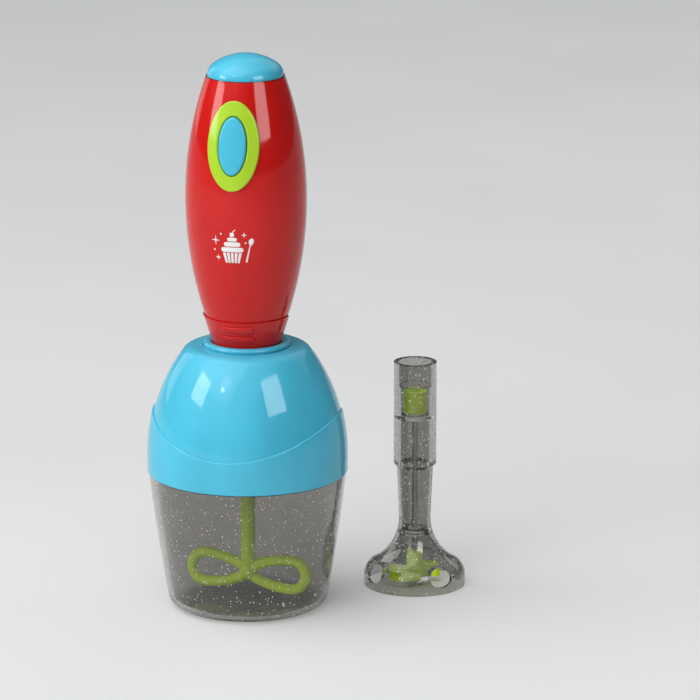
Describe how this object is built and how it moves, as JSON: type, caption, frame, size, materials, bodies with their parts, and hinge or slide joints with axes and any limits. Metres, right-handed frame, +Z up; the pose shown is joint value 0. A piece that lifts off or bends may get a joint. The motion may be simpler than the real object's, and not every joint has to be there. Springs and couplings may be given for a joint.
{
  "type": "toy hand mixer",
  "caption": "Toy hand mixer: clear lidded bowl with a bow whisk driven by an upright battery handle with push button, and a clear blending wand that plugs onto the same handle.",
  "frame": {"origin": "centre of the bowl's foot, on the table", "axes": "+Z up along the whisk's axis, -Y towards the side with the push button, +X towards the side on which the blending wand stands"},
  "size_m": [0.152, 0.127, 0.2823],
  "materials": {
    "clear_smoke": "gloss, smoky clear with silver flakes",
    "red_abs": "gloss",
    "cyan_abs": "gloss",
    "lime_abs": "gloss",
    "green_pp": "satin",
    "white_acetal": "satin",
    "black_plastic": "matt",
    "steel": "satin",
    "spring_contact": "bright",
    "silicone": "matt",
    "wire_cover": "satin",
    "board": "matt",
    "cell_wrap": "gloss"
  },
  "bodies": {
    "bowl": {"mixing_bowl": "clear_smoke"},
    "lid": {"lid_dome": "cyan_abs", "lid_bush": "white_acetal"},
    "beater": {"whisk": "green_pp", "whisk_cup": "green_pp"},
    "handle": {"front_shell": "red_abs", "rear_shell": "red_abs", "shell_screws": "steel", "top_cap": "cyan_abs", "button_bezel": "lime_abs", "rubber_dome": "silicone", "switch_board": "board", "switch_screws": "steel", "nose_spigot": "cyan_abs", "nose_bush": "white_acetal", "idler_pin": "steel", "gearbox_frame": "black_plastic", "motor_plate": "black_plastic", "gearbox_screws": "steel", "motor_can": "steel", "motor_end_cap": "black_plastic", "battery_cells": "cell_wrap", "upper_contact": "spring_contact", "lower_contacts": "spring_contact", "lead_wires": "wire_cover"},
    "push_button": {"button": "cyan_abs"},
    "battery_door": {"battery_cover": "red_abs", "cover_screw": "steel"},
    "drive_line": {"drive_shaft": "steel", "output_gear": "white_acetal"},
    "idler": {"idler_gear": "white_acetal"},
    "rotor": {"motor_shaft": "steel", "motor_pinion": "white_acetal"},
    "wand": {"wand_housing": "clear_smoke", "wand_upper_bush": "white_acetal", "wand_lower_bush": "white_acetal"},
    "blender": {"wand_cup": "green_pp", "wand_shaft": "steel", "wand_blade": "green_pp"}
  },
  "joints": [
    {"name": "lid_lift", "type": "slide", "parent": "bowl", "child": "lid", "axis": [0, 0, 1], "range_m": [0, 0.09]},
    {"name": "handle_lift", "type": "slide", "parent": "lid", "child": "handle", "axis": [0, 0, 1], "range_m": [0, 0.035]},
    {"name": "whisk_spin", "type": "hinge", "parent": "lid", "child": "beater", "pos_m": [0, 0, 0.1055], "axis": [0, 0, 1], "continuous": true},
    {"name": "drive_spin", "type": "hinge", "parent": "handle", "child": "drive_line", "pos_m": [0, 0, 0.15035], "axis": [0, 0, 1], "continuous": true},
    {"name": "idler_spin", "type": "hinge", "parent": "handle", "child": "idler", "pos_m": [0.01, 0, 0.15035], "axis": [0, 0, 1], "continuous": true},
    {"name": "motor_spin", "type": "hinge", "parent": "handle", "child": "rotor", "pos_m": [0, 0, 0.1574], "axis": [0, 0, 1], "continuous": true},
    {"name": "button_press", "type": "slide", "parent": "handle", "child": "push_button", "axis": [0, 0.9852, -0.1716], "range_m": [0, 0.002], "stiffness_N_per_m": 400, "springref_m": -0.001, "deforming": ["rubber_dome"]},
    {"name": "battery_door_pull", "type": "slide", "parent": "handle", "child": "battery_door", "axis": [0, 1, 0], "range_m": [0, 0.025]},
    {"name": "wand_lift", "type": "slide", "parent": "bowl", "child": "wand", "axis": [0, 0, 1], "range_m": [0, 0.08]},
    {"name": "blade_spin", "type": "hinge", "parent": "wand", "child": "blender", "pos_m": [0.0755, 0.0505, 0.0265], "axis": [0, 0, 1], "continuous": true}
  ],
  "couplings": [
    {"joint": "drive_spin", "follows": "whisk_spin", "ratio": 1},
    {"joint": "idler_spin", "follows": "whisk_spin", "ratio": -2.3333},
    {"joint": "motor_spin", "follows": "whisk_spin", "ratio": 5.4444}
  ]
}
